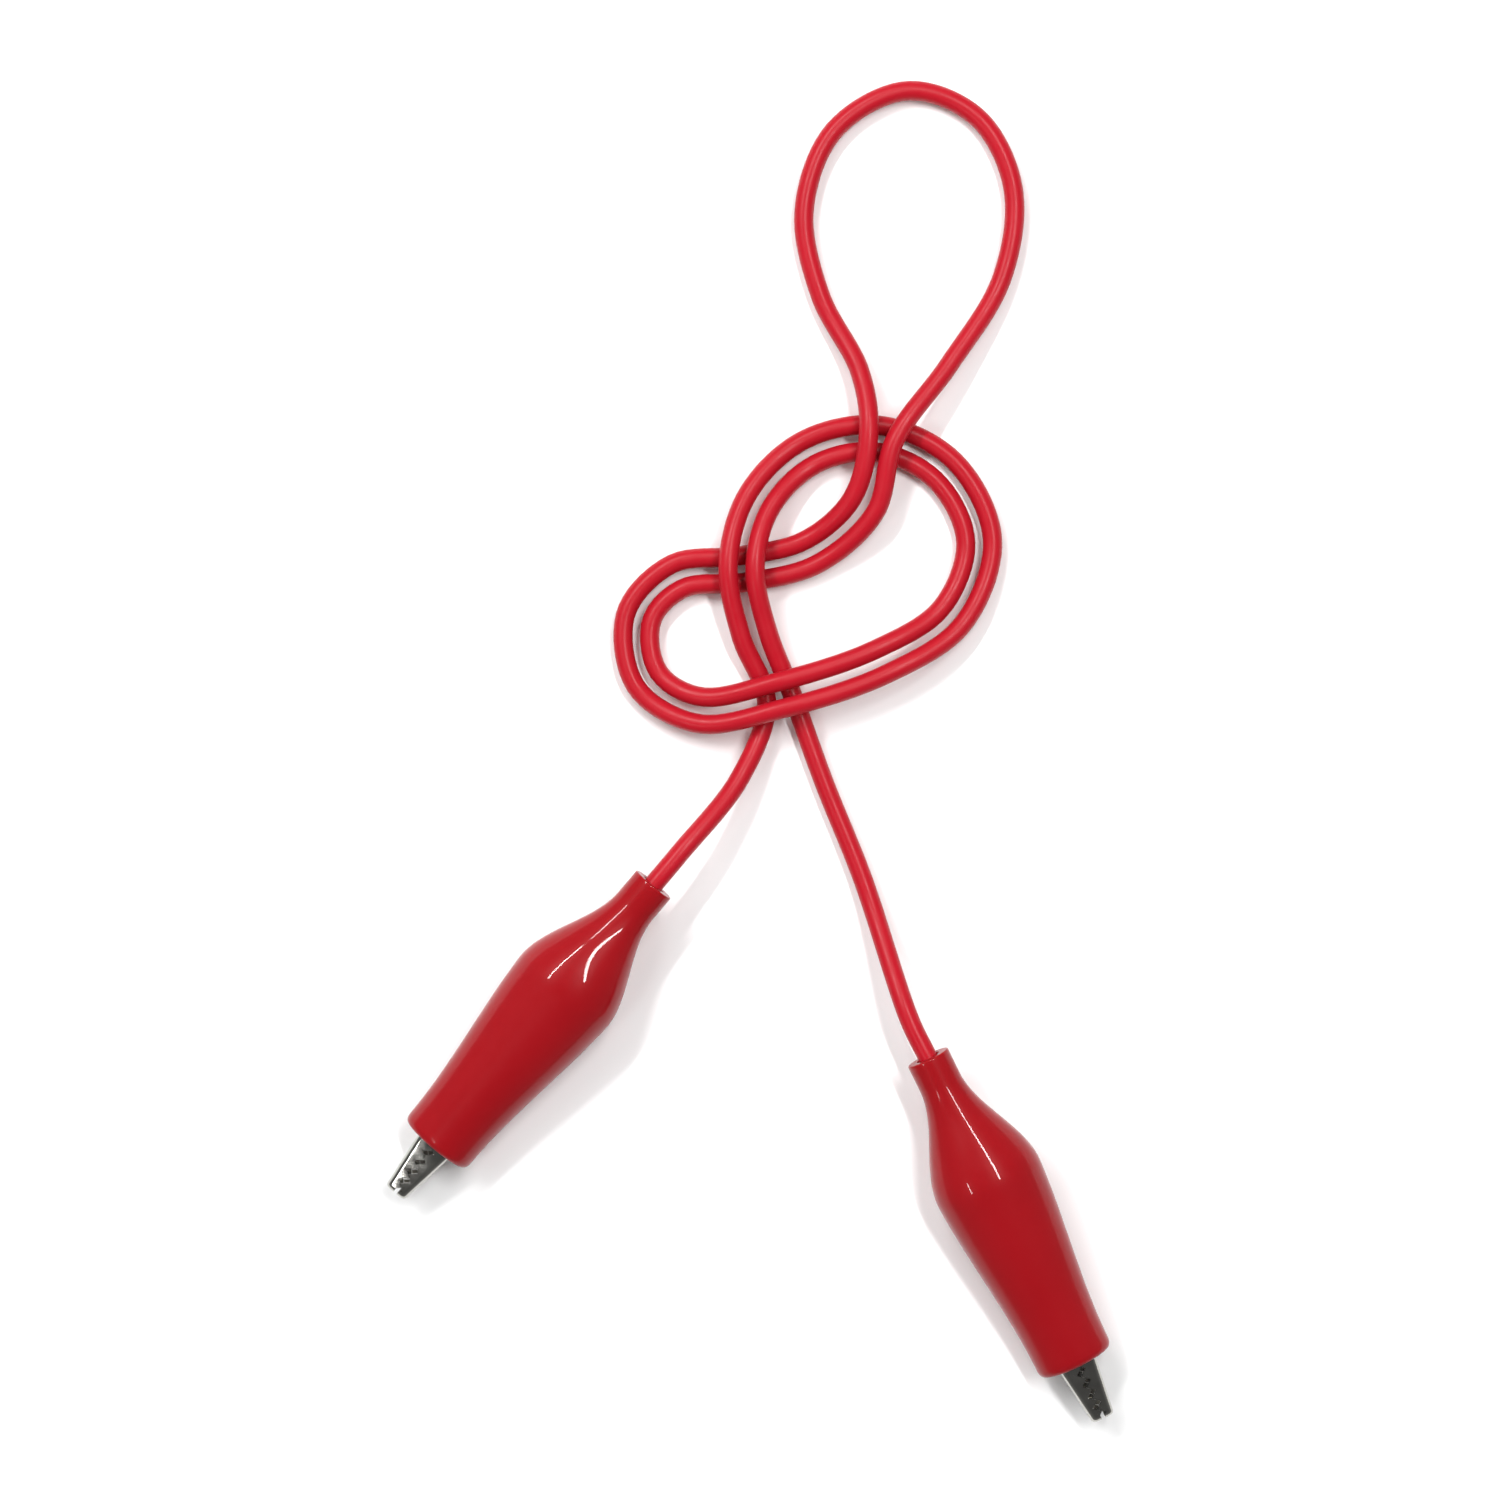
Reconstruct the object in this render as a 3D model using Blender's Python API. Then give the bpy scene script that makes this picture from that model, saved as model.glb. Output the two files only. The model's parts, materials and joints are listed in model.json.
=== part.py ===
"""Alligator clip lead: one flexible wire with a vinyl-covered spring clip on each end.

The lead lies on the floor, z = 0, with its wire doubled and tied in one loose overhand knot.
Sizes are in millimetres, and MM turns them into the scene's metres. Each clip is drawn in a frame
of its own: x runs forward to the jaw tips, y is the way the moving jaw opens, z is the hinge's
axis, and the origin is the pivot. The clip lies on its side on a flat strip of its boot.
"""
import math

import bmesh
import bpy
import numpy as np
from mathutils import Matrix, Vector

MM = 0.001
CLEARANCE = 0.3               # between pieces that touch or turn on the real lead

# Wire
WIRE_DIAMETER = 2.2
STRAND_DIAMETER = 0.9         # bundle of bare copper strands
WIRE_SPACING = 6.1            # between points along the wire
STRAND_GAP = 0.8              # between the two runs of the doubled wire, and at crossings
FLOOR_GAP = 0.05

# Sheet metal of the jaws
SHEET = 0.45
FOLD_RADIUS = 0.4             # middle of the sheet, at the long folds
TIP_X = 16.0                  # jaw tip, forward of the pivot
NOSE_X = TIP_X - 1.0          # where the teeth end and the rounded nose starts
JAW_HALF = 2.1                # half width of both jaws at the boot's mouth
TEETH_START_X = 5.2
TOOTH_PITCH = 1.4
TOOTH_HEIGHT = 0.6
BITE_GAP = 0.4                # between the two rows of teeth when the clip is shut
TAIL_END_X = -18.0
LEVER_END_X = -11.0
LEVER_HEIGHT = 4.6            # back of the thumb lever above the pivot

# Pivot
RIVET_RADIUS = 0.75
HEAD_RADIUS = 1.4
HEAD_HEIGHT = 0.3
LOBE_RADIUS = 2.0             # round ears of both jaws
MOVING_EAR_HALF = 1.7
FIXED_EAR_HALF = MOVING_EAR_HALF + CLEARANCE + SHEET
HOLE_RADIUS = RIVET_RADIUS + CLEARANCE

# Torsion spring
SPRING_WIRE = 0.45
SPRING_RADIUS = RIVET_RADIUS + CLEARANCE + SPRING_WIRE
SPRING_BACK = SPRING_RADIUS + SPRING_WIRE / 2 + SHEET   # depth of a back that just clears the coil
SPRING_TURNS = 2
SPRING_PITCH = 0.6
SPRING_LEG_X = -7.0

# Crimped barrels at the tail of the fixed jaw, as (rear x, front x)
INSULATION_BARREL = (TAIL_END_X, TAIL_END_X + 2.2)
CONDUCTOR_BARREL = (-12.2, -9.6)
INSULATION_Y = -1.1
CONDUCTOR_Y = -3.2
CRIMP_GAP = 0.45              # between a barrel and the wire that runs through it
BARREL_DEPTH = CRIMP_GAP + STRAND_DIAMETER / 2 + SHEET - CONDUCTOR_Y
BARREL_SEAM = 20.0            # half angle of the seam where the two wings meet, degrees

# Boot
BOOT_WALL = 0.7
NECK_END_X = -29.0
BULB_X = -13.4
TAPER_END_X = 8.0
MOUTH_X = 9.0
NECK_Y = WIRE_DIAMETER / 2 + 0.65 + BOOT_WALL
NECK_Z = WIRE_DIAMETER / 2 + 0.5 + BOOT_WALL
BULB_Y = max(LEVER_HEIGHT, BARREL_DEPTH) + 0.95 + BOOT_WALL
BULB_Z = FIXED_EAR_HALF + 2.0 + BOOT_WALL
MOUTH_Y = JAW_HALF + 1.6 + BOOT_WALL
MOUTH_Z = JAW_HALF + 0.85 + BOOT_WALL
RIM_ROUND = 0.2
BOOT_SIDES = 24

# The flat strip along the underside of the boot's straight taper is what the clip lies on.
STRIP_DROP = math.cos(math.pi / BOOT_SIDES)
CLIP_PITCH = math.atan((BULB_Z - MOUTH_Z) * STRIP_DROP / (TAPER_END_X - BULB_X))
REST_X = (TAPER_END_X + BULB_X) / 2

# Where each clip rests, and its heading in degrees
CLIPS = {"a": ((0.0, 0.0), -130.0), "b": ((58.4, -22.6), -64.0)}

# The wire's route, chosen by hand: x and y from the knot's centre, and the height as a share of one
# wire crossing over another. The doubled stretch is the middle line of its two runs.
KNOT = (37.6, 52.2)
DOUBLED = [
    (-7.0, -11.6, 0), (-9.8, -4.4, 0.5), (-11.2, 3.0, 1), (-9.2, 10.4, 0.5), (-3.6, 15.9, 0),
    (4.2, 17.4, 0), (11.6, 13.8, 0), (15.4, 6.0, 0), (12.4, -2.4, 0.25), (4.4, -7.6, 0.85),
    (-7.0, -11.4, 1), (-16.0, -13.0, 0.6), (-21.8, -9.5, 0.1), (-22.7, -2.5, 0), (-18.4, 2.0, 0),
    (-11.2, 2.8, 0), (-3.6, 4.6, 0), (2.4, 9.8, 0.6), (4.4, 17.4, 1),
]
LOOP = [
    (2.0, 24.8, 0.5), (-2.4, 33.5, 0), (-4.2, 43.0, 0), (-0.8, 52.0, 0), (7.4, 56.4, 0),
    (15.2, 53.4, 0), (19.2, 45.5, 0), (18.0, 35.5, 0), (12.0, 25.6, 0.5),
]
TAIL_A = [(-11.4, -20.6, 0.6)]
TAIL_B = [(-2.0, -21.0, 0), (2.4, -32.0, 0.1)]
# The wire's end in a clip's own frame: from its cut end in the barrel out through the neck.
WIRE_END = [
    (INSULATION_BARREL[1] - 0.2, INSULATION_Y, 0), (INSULATION_BARREL[0] - 1.5, INSULATION_Y, 0),
    (NECK_END_X + 3.5, 0, 0), (NECK_END_X, 0, 0), (NECK_END_X - 4.5, 0, -0.6),
]

# Outlines of the sheet parts, as (x, depth of the back below the pivot, half width)
NOSE_OUTLINE = [(MOUTH_X + 0.2, 2.15, JAW_HALF), (NOSE_X + TOOTH_PITCH / 4, 1.35, 1.5),
                (TIP_X - 0.25, 1.25, 1.2), (TIP_X, 1.15, 0.8)]
EAR_OUTLINE = [(-3.0, SPRING_BACK + 0.95), (3.0, SPRING_BACK + 0.55)]
FIXED_OUTLINE = [(-14.2, 3.7, 1.5), (-13.0, BARREL_DEPTH - 0.2, 1.4), (-8.6, BARREL_DEPTH - 0.2, 1.5),
                 *[(*row, FIXED_EAR_HALF) for row in EAR_OUTLINE], *NOSE_OUTLINE]
MOVING_OUTLINE = [(LEVER_END_X, LEVER_HEIGHT, 1.5), (-6.0, LEVER_HEIGHT - 0.75, MOVING_EAR_HALF),
                  *[(*row, MOVING_EAR_HALF) for row in EAR_OUTLINE], *NOSE_OUTLINE]
# Height of the side walls' free edge behind the ears, as (x, y)
FIXED_TAIL_EDGE = [(-14.2, -1.6), (-13.0, -2.2), (-8.6, -2.4), (-4.0, -1.5), (-2.6, -0.9)]
LEVER_EDGE = [(LEVER_END_X, 0.7 - LEVER_HEIGHT), (-6.0, -2.9), (-4.0, -2.2), (-3.0, -1.2)]
FOLD_POINTS = 4


def clear_scene():
    for old in list(bpy.data.objects):
        bpy.data.objects.remove(old, do_unlink=True)


def material(name, colour, roughness, metallic=0.0):
    made = bpy.data.materials.new(name)
    made.use_nodes = True
    shader = made.node_tree.nodes["Principled BSDF"]
    shader.inputs["Base Color"].default_value = (*colour, 1.0)
    shader.inputs["Roughness"].default_value = roughness
    shader.inputs["Metallic"].default_value = metallic
    return made


def mesh_object(name, vertices, faces, parent, surface, smooth_angle=35.0):
    """One closed body from its corners, in millimetres, with its faces turned outward."""
    mesh = bpy.data.meshes.new(name)
    mesh.from_pydata([Vector(v) * MM for v in vertices], [], faces)
    shape = bmesh.new()
    shape.from_mesh(mesh)
    bmesh.ops.recalc_face_normals(shape, faces=shape.faces)
    shape.to_mesh(mesh)
    shape.free()
    mesh.shade_smooth()
    mesh.set_sharp_from_angle(angle=math.radians(smooth_angle))
    made = bpy.data.objects.new(name, mesh)
    made.parent = parent
    made.data.materials.append(surface)
    bpy.context.collection.objects.link(made)
    return made


def tube(name, points, diameter, parent, surface):
    """Round wire along points in millimetres, with flat closed ends."""
    curve = bpy.data.curves.new(name, "CURVE")
    curve.dimensions = "3D"
    curve.bevel_depth = diameter / 2 * MM
    curve.bevel_resolution = 2
    curve.use_fill_caps = True
    spline = curve.splines.new("POLY")
    spline.points.add(len(points) - 1)
    for point, place in zip(spline.points, points):
        point.co = (*(Vector(place) * MM), 1.0)
    spline.use_smooth = True
    made = bpy.data.objects.new(name, curve)
    made.parent = parent
    curve.materials.append(surface)
    bpy.context.collection.objects.link(made)
    return made


def smooth_run(points, spacing):
    """Points every spacing millimetres or so along a smooth curve through the given ones.

    The plan is a centripetal Catmull-Rom curve, and the height never overshoots its points.
    """
    given = np.array(points, float)
    step = np.sqrt(np.linalg.norm(np.diff(given, axis=0), axis=1))
    place = np.concatenate([[0.0], np.cumsum(step)])
    rate = np.diff(given, axis=0) / step[:, None]
    chord = (given[2:] - given[:-2]) / (step[:-1] + step[1:])[:, None]
    slope = np.vstack([rate[:1], rate[:-1] + rate[1:] - chord, rate[-1:]])
    before, after = rate[:-1, 2], rate[1:, 2]
    climbing = before * after > 0
    total = np.where(climbing, before + after, 1.0)
    slope[1:-1, 2] = np.where(climbing, 2 * before * after / total, 0.0)

    along = np.linspace(0.0, place[-1], 60 * len(given))
    k = np.clip(np.searchsorted(place, along, side="right") - 1, 0, len(step) - 1)
    width = step[k][:, None]
    s = (along - place[k])[:, None] / width
    fine = (given[k] * (1 + 2 * s) * (1 - s) ** 2 + given[k + 1] * s ** 2 * (3 - 2 * s)
            + width * s * (1 - s) * (slope[k] * (1 - s) - slope[k + 1] * s))
    travelled = np.concatenate([[0.0], np.cumsum(np.linalg.norm(np.diff(fine, axis=0), axis=1))])
    count = round(travelled[-1] / spacing) + 1
    even = np.linspace(0.0, travelled[-1], count)
    return [tuple(np.interp(d, travelled, fine[:, axis]) for axis in range(3)) for d in even]


def shifted(points, offset):
    """The points moved sideways in plan, to the left of the way they run."""
    given = np.array(points, float)
    way = np.gradient(given[:, :2], axis=0)
    way /= np.linalg.norm(way, axis=1)[:, None]
    given[:, 0] -= way[:, 1] * offset
    given[:, 1] += way[:, 0] * offset
    return given.tolist()


def clip_matrix(place, heading):
    """Frame of a clip whose rest strip is centred on place and flat on the floor."""
    turn = Matrix.Rotation(math.radians(heading), 4, "Z") @ Matrix.Rotation(CLIP_PITCH, 4, "Y")
    strip_z = -STRIP_DROP * boot_half_sizes(REST_X)[1]
    return Matrix.Translation(Vector((*place, 0)) - turn @ Vector((REST_X, 0, strip_z))) @ turn


def wire_route():
    """The wire's route points in the world, from clip a's end to clip b's."""
    level = WIRE_DIAMETER / 2 + FLOOR_GAP
    lift = WIRE_DIAMETER + STRAND_GAP
    ends = {name: [tuple(clip_matrix(*clip) @ Vector(p)) for p in WIRE_END]
            for name, clip in CLIPS.items()}
    left = shifted(DOUBLED, lift / 2)
    right = shifted(DOUBLED, -lift / 2)
    knotted = [*TAIL_A, *left, *LOOP, *right[::-1], *TAIL_B]
    laid = [(x + KNOT[0], y + KNOT[1], level + z * lift) for x, y, z in knotted]
    return [*ends["a"], *laid, *ends["b"][::-1]]


def boot_half_sizes(x):
    """Outer half sizes of the boot along y and z: an S-shaped flare, then a taper, straight in z."""
    if x <= BULB_X:
        share = max(0.0, ((x - NECK_END_X) / (BULB_X - NECK_END_X) - 0.2) / 0.8)
        share = share * share * (3 - 2 * share)
        return NECK_Y + (BULB_Y - NECK_Y) * share, NECK_Z + (BULB_Z - NECK_Z) * share
    share = (x - BULB_X) / (TAPER_END_X - BULB_X)
    left_y = (1 - share) ** 2 * (1 + 1.5 * share)
    return MOUTH_Y + (BULB_Y - MOUTH_Y) * left_y, BULB_Z + (MOUTH_Z - BULB_Z) * share


def boot(name, parent, surface):
    """Hollow sleeve, open at the neck and at the mouth, with a flat strip along its underside."""
    stations = [*np.linspace(NECK_END_X, BULB_X, 14), *np.linspace(BULB_X, TAPER_END_X, 7)[1:],
                MOUTH_X - RIM_ROUND, MOUTH_X]
    outside = [(x, RIM_ROUND if x == MOUTH_X else 0.0) for x in stations]
    inside = [(x, BOOT_WALL) for x in stations[::-1]]
    angles = [math.tau * (side + 0.5) / BOOT_SIDES for side in range(BOOT_SIDES)]
    vertices = []
    for x, inset in outside + inside:
        half_y, half_z = boot_half_sizes(x)
        vertices += [(x, (half_y - inset) * math.cos(a), (half_z - inset) * math.sin(a)) for a in angles]
    rings = 2 * len(stations)
    faces = []
    for ring in range(rings):
        ahead = (ring + 1) % rings
        for side in range(BOOT_SIDES):
            across = (side + 1) % BOOT_SIDES
            faces.append((ring * BOOT_SIDES + side, ring * BOOT_SIDES + across,
                          ahead * BOOT_SIDES + across, ahead * BOOT_SIDES + side))
    return mesh_object(name, vertices, faces, parent, surface)


def trough(depth, half, edge):
    """Middle line of a U-shaped fold that opens upward, as (y, z) from one edge to the other."""
    side = half - SHEET / 2
    floor = SHEET / 2 - depth
    turns = [math.pi / 2 * k / (FOLD_POINTS - 1) for k in range(FOLD_POINTS)]
    fold = [(floor + FOLD_RADIUS * (1 - math.sin(a)), side - FOLD_RADIUS * (1 - math.cos(a)))
            for a in turns]
    right = [(edge, side), *fold]
    return right + [(y, -z) for y, z in right[::-1]]


def barrel(centre_y, diameter):
    """Middle line of two wings curled round a wire, with as many points as a trough."""
    count = 2 * (FOLD_POINTS + 1)
    step = math.radians(360 - 2 * BARREL_SEAM) / (count - 1)
    radius = diameter / 2 + CRIMP_GAP + SHEET / 2
    angles = [math.radians(BARREL_SEAM) + step * k for k in range(count)]
    return [(centre_y + radius * math.cos(a), radius * math.sin(a)) for a in angles]


def offset_line(line, distance):
    """The line moved outward by distance, with mitred corners."""
    points = [Vector(p) for p in line]
    normals = []
    for start, end in zip(points, points[1:]):
        way = (end - start).normalized()
        normals.append(Vector((way.y, -way.x)))
    moved = []
    for k, point in enumerate(points):
        first = normals[max(k - 1, 0)]
        second = normals[min(k, len(normals) - 1)]
        moved.append(point + (first + second) * distance / (1 + first.dot(second)))
    return moved


def folded_sheet(name, stations, parent, surface, upper=False):
    """Sheet part lofted through (x, middle line) stations, open behind, closed at the nose."""
    vertices = []
    for x, line in stations:
        back_off = SHEET * max(0.0, (x - NOSE_X) / (TIP_X - NOSE_X))
        vertices += [(x, *p) for p in offset_line(line, SHEET / 2)]
        vertices += [(x - back_off, *p) for p in offset_line(line, -SHEET / 2)]
    if upper:
        vertices = [(x, -y, z) for x, y, z in vertices]
    wide = len(stations[0][1])
    faces = []

    def outer(station, k):
        return station * 2 * wide + k

    def inner(station, k):
        return outer(station, k) + wide

    last = len(stations) - 1
    for i in range(last):
        for k in range(wide - 1):
            for skin in (outer, inner):
                faces.append((skin(i, k), skin(i + 1, k), skin(i + 1, k + 1), skin(i, k + 1)))
        for k in (0, wide - 1):
            faces.append((outer(i, k), outer(i + 1, k), inner(i + 1, k), inner(i, k)))
    faces += [(outer(0, k), outer(0, k + 1), inner(0, k + 1), inner(0, k)) for k in range(wide - 1)]
    faces.append([outer(last, k) for k in range(wide)])
    faces.append([inner(last, k) for k in range(wide)])
    faces.append((outer(last, 0), outer(last, wide - 1), inner(last, wide - 1), inner(last, 0)))
    return mesh_object(name, vertices, faces, parent, surface)


def read_outline(outline, x, column):
    return float(np.interp(x, [row[0] for row in outline], [row[column] for row in outline]))


def jaw_stations(outline, tail_edge, tooth_side):
    """Stations of a jaw from its tail to the tip; tooth_side sets which teeth stand first."""
    shut = -BITE_GAP / 2
    edges = list(tail_edge)
    for k in range(9):
        turn = math.pi * k / 8
        edges.append((-LOBE_RADIUS * math.cos(turn), LOBE_RADIUS * math.sin(turn)))
    edges += [(LOBE_RADIUS + 0.6, shut), (TEETH_START_X - TOOTH_PITCH, shut)]
    steps = round((NOSE_X - TEETH_START_X) / TOOTH_PITCH * 2)
    for k in range(steps + 1):
        x = TEETH_START_X + (NOSE_X - TEETH_START_X) * k / steps
        edges.append((x, shut + tooth_side * TOOTH_HEIGHT / 2 * (-1) ** k))
    edges += [(row[0], shut) for row in NOSE_OUTLINE[1:]]
    return [(x, trough(read_outline(outline, x, 1), read_outline(outline, x, 2), edge))
            for x, edge in edges]


def fixed_jaw(name, parent, surface):
    """Lower jaw, with its ears, its tail and the two barrels crimped onto the wire."""
    stations = [(x, barrel(INSULATION_Y, WIRE_DIAMETER)) for x in INSULATION_BARREL]
    front = jaw_stations(FIXED_OUTLINE, FIXED_TAIL_EDGE, 1)
    stations += [s for s in front if s[0] < CONDUCTOR_BARREL[0]]
    stations += [(x, barrel(CONDUCTOR_Y, STRAND_DIAMETER)) for x in CONDUCTOR_BARREL]
    stations += [s for s in front if s[0] > CONDUCTOR_BARREL[1]]
    return folded_sheet(name, stations, parent, surface)


def moving_jaw(name, parent, surface):
    """Upper jaw, whose ears turn inside the fixed jaw's, with the thumb lever behind them."""
    stations = jaw_stations(MOVING_OUTLINE, LEVER_EDGE, -1)
    return folded_sheet(name, stations, parent, surface, upper=True)


def pivot_hole(name, jaws, parent):
    """Cuts the rivet's hole through the ears of both jaws."""
    mesh = bpy.data.meshes.new(name)
    shape = bmesh.new()
    bmesh.ops.create_cone(shape, cap_ends=True, segments=24, radius1=HOLE_RADIUS * MM,
                          radius2=HOLE_RADIUS * MM, depth=3 * FIXED_EAR_HALF * MM)
    shape.to_mesh(mesh)
    shape.free()
    cutter = bpy.data.objects.new(name, mesh)
    cutter.parent = parent
    cutter.hide_render = True
    cutter.display_type = "WIRE"
    bpy.context.collection.objects.link(cutter)
    for jaw in jaws:
        cut = jaw.modifiers.new("pivot_hole", "BOOLEAN")
        cut.operation = "DIFFERENCE"
        cut.solver = "EXACT"
        cut.object = cutter


def pivot_rivet(name, parent, surface):
    """Shaft with two low domed heads, turned about the hinge's axis."""
    seat = FIXED_EAR_HALF + CLEARANCE
    dome = [(HEAD_RADIUS * math.cos(a), seat + 0.05 + HEAD_HEIGHT * math.sin(a))
            for a in (math.radians(15 * k) for k in range(6))]
    half = [(RIVET_RADIUS, seat), (HEAD_RADIUS, seat), *dome]
    profile = [(r, -z) for r, z in half[::-1]] + half
    sides = 24
    vertices = []
    for radius, z in profile:
        vertices += [(radius * math.cos(math.tau * s / sides), radius * math.sin(math.tau * s / sides), z)
                     for s in range(sides)]
    faces = [[s for s in range(sides)], [s + (len(profile) - 1) * sides for s in range(sides)]]
    for row in range(len(profile) - 1):
        for s in range(sides):
            across = (s + 1) % sides
            faces.append((row * sides + s, row * sides + across,
                          (row + 1) * sides + across, (row + 1) * sides + s))
    return mesh_object(name, vertices, faces, parent, surface)


def spring_leg(outline, side):
    """End of a spring leg, just clear of the inner face of a jaw's back."""
    inner_face = read_outline(outline, SPRING_LEG_X, 1) - SHEET
    return side * (inner_face - CLEARANCE - SPRING_WIRE / 2)


def torsion_spring(name, parent, surface):
    """Close coil round the rivet, with one leg under the lever and one on the fixed tail."""
    low = Vector((SPRING_LEG_X, spring_leg(FIXED_OUTLINE, -1)))
    high = Vector((SPRING_LEG_X, spring_leg(MOVING_OUTLINE, 1)))

    def tangent_angle(leg, side):
        return math.atan2(leg.y, leg.x) - side * math.acos(SPRING_RADIUS / leg.length)

    start = tangent_angle(low, -1)
    end = tangent_angle(high, 1) + math.tau * SPRING_TURNS
    if end - start < math.tau * SPRING_TURNS:
        end += math.tau
    sweep = end - start
    rise = SPRING_PITCH * sweep / math.tau
    count = round(sweep / math.radians(18))
    points = [(*low, -rise / 2)]
    for k in range(count + 1):
        angle = start + sweep * k / count
        points.append((SPRING_RADIUS * math.cos(angle), SPRING_RADIUS * math.sin(angle),
                       rise * (k / count - 0.5)))
    points.append((*high, rise / 2))
    return tube(name, points, SPRING_WIRE, parent, surface)


def conductor_end(name, parent, surface):
    """Bare strands from the cut insulation down into their own barrel."""
    start_x = WIRE_END[0][0] + CLEARANCE
    route = [(start_x, INSULATION_Y, 0), (start_x + 0.4, INSULATION_Y, 0),
             (CONDUCTOR_BARREL[0] - 0.2, CONDUCTOR_Y, 0), (CONDUCTOR_BARREL[1] + 0.5, CONDUCTOR_Y, 0)]
    return tube(name, smooth_run(route, 0.5), STRAND_DIAMETER, parent, surface)


def clip(suffix, place, heading, surfaces):
    frame = bpy.data.objects.new("clip_frame_" + suffix, None)
    frame.matrix_world = clip_matrix(place, heading)
    frame.location *= MM
    bpy.context.collection.objects.link(frame)
    lower = fixed_jaw("fixed_jaw_" + suffix, frame, surfaces["fixed_jaw"])
    upper = moving_jaw("moving_jaw_" + suffix, frame, surfaces["moving_jaw"])
    pivot_hole("pivot_hole_" + suffix, (lower, upper), frame)
    pivot_rivet("pivot_rivet_" + suffix, frame, surfaces["rivet"])
    torsion_spring("torsion_spring_" + suffix, frame, surfaces["spring"])
    conductor_end("conductor_end_" + suffix, frame, surfaces["strands"])
    boot("boot_" + suffix, frame, surfaces["boot"])


def main():
    clear_scene()
    surfaces = {
        "boot": material("red_vinyl", (0.42, 0.010, 0.014), 0.12),
        "wire": material("red_wire_cover", (0.60, 0.020, 0.032), 0.35),
        "fixed_jaw": material("nickel_fixed_jaw", (0.62, 0.61, 0.58), 0.18, 1.0),
        "moving_jaw": material("nickel_moving_jaw", (0.64, 0.63, 0.60), 0.18, 1.0),
        "rivet": material("steel_rivet", (0.50, 0.50, 0.49), 0.30, 1.0),
        "spring": material("spring_steel", (0.36, 0.36, 0.37), 0.28, 1.0),
        "strands": material("tinned_copper", (0.72, 0.36, 0.20), 0.30, 1.0),
    }
    for suffix, (place, heading) in CLIPS.items():
        clip(suffix, place, heading, surfaces)
    tube("lead_wire", smooth_run(wire_route(), WIRE_SPACING), WIRE_DIAMETER, None, surfaces["wire"])
    bpy.context.view_layer.update()


main()
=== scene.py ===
"""Looks of the alligator clip lead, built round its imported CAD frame.

Fine meshes stand for the wire, the boots, the sheet jaws, the springs and the bare strands; the
rivets keep their CAD shape. Local sizes are in millimetres in each clip's own frame, as in the
design: x forward to the jaw tips, y the way the moving jaw opens, z the hinge's axis.
"""
import json
import math

import bmesh
import bpy
import numpy as np
from mathutils import Matrix, Vector

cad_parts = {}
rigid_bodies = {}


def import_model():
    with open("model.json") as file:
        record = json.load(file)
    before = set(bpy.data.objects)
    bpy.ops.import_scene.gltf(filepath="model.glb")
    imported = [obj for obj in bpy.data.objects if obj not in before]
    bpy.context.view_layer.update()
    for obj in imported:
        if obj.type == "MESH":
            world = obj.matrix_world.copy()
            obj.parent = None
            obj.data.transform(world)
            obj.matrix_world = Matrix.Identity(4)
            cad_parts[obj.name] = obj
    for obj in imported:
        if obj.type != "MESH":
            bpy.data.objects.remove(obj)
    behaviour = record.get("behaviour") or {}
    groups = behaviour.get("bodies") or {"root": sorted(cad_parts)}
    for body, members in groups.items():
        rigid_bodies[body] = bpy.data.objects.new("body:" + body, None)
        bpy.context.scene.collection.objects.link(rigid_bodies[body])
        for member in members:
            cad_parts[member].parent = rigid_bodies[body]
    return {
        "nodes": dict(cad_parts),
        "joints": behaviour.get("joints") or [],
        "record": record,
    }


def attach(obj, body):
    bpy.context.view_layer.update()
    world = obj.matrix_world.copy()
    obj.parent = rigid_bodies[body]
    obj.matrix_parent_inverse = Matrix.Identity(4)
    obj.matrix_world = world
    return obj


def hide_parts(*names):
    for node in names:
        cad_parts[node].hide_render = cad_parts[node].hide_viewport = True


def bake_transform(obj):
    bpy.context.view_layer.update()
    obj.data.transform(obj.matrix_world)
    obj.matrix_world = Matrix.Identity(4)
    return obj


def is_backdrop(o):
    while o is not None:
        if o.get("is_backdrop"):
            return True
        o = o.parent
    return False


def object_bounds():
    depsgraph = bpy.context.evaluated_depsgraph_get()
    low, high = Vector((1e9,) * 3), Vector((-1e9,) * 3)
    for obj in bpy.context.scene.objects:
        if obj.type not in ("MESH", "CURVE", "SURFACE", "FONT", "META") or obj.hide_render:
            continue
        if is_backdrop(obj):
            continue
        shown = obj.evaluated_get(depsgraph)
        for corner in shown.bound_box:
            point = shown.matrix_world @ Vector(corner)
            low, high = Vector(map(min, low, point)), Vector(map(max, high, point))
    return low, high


MM = 0.001

# Wire
WIRE_DIAMETER = 2.2
STRAND_DIAMETER = 0.9
STRAND_GAP = 0.8
FLOOR_GAP = 0.05
WIRE_STEP = 0.9               # between points along the fine wire

# Sheet jaws
SHEET = 0.45
FOLD_RADIUS = 0.4
CROWN = 0.08                  # how far the back of the channel bulges between its folds
TIP_X = 16.0
NOSE_X = TIP_X - 1.0
JAW_HALF = 2.1
TEETH_START_X = 5.2
TOOTH_PITCH = 1.4
TOOTH_HEIGHT = 0.8
TOOTH_SHIFT = 0.3             # the upper row stands this far forward, so light shows between teeth
BITE_GAP = 0.42
TAIL_END_X = -18.0
LEVER_END_X = -11.0
LEVER_HEIGHT = 4.6
EDGE_ROUND = 0.11             # rounded stamped edges

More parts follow.
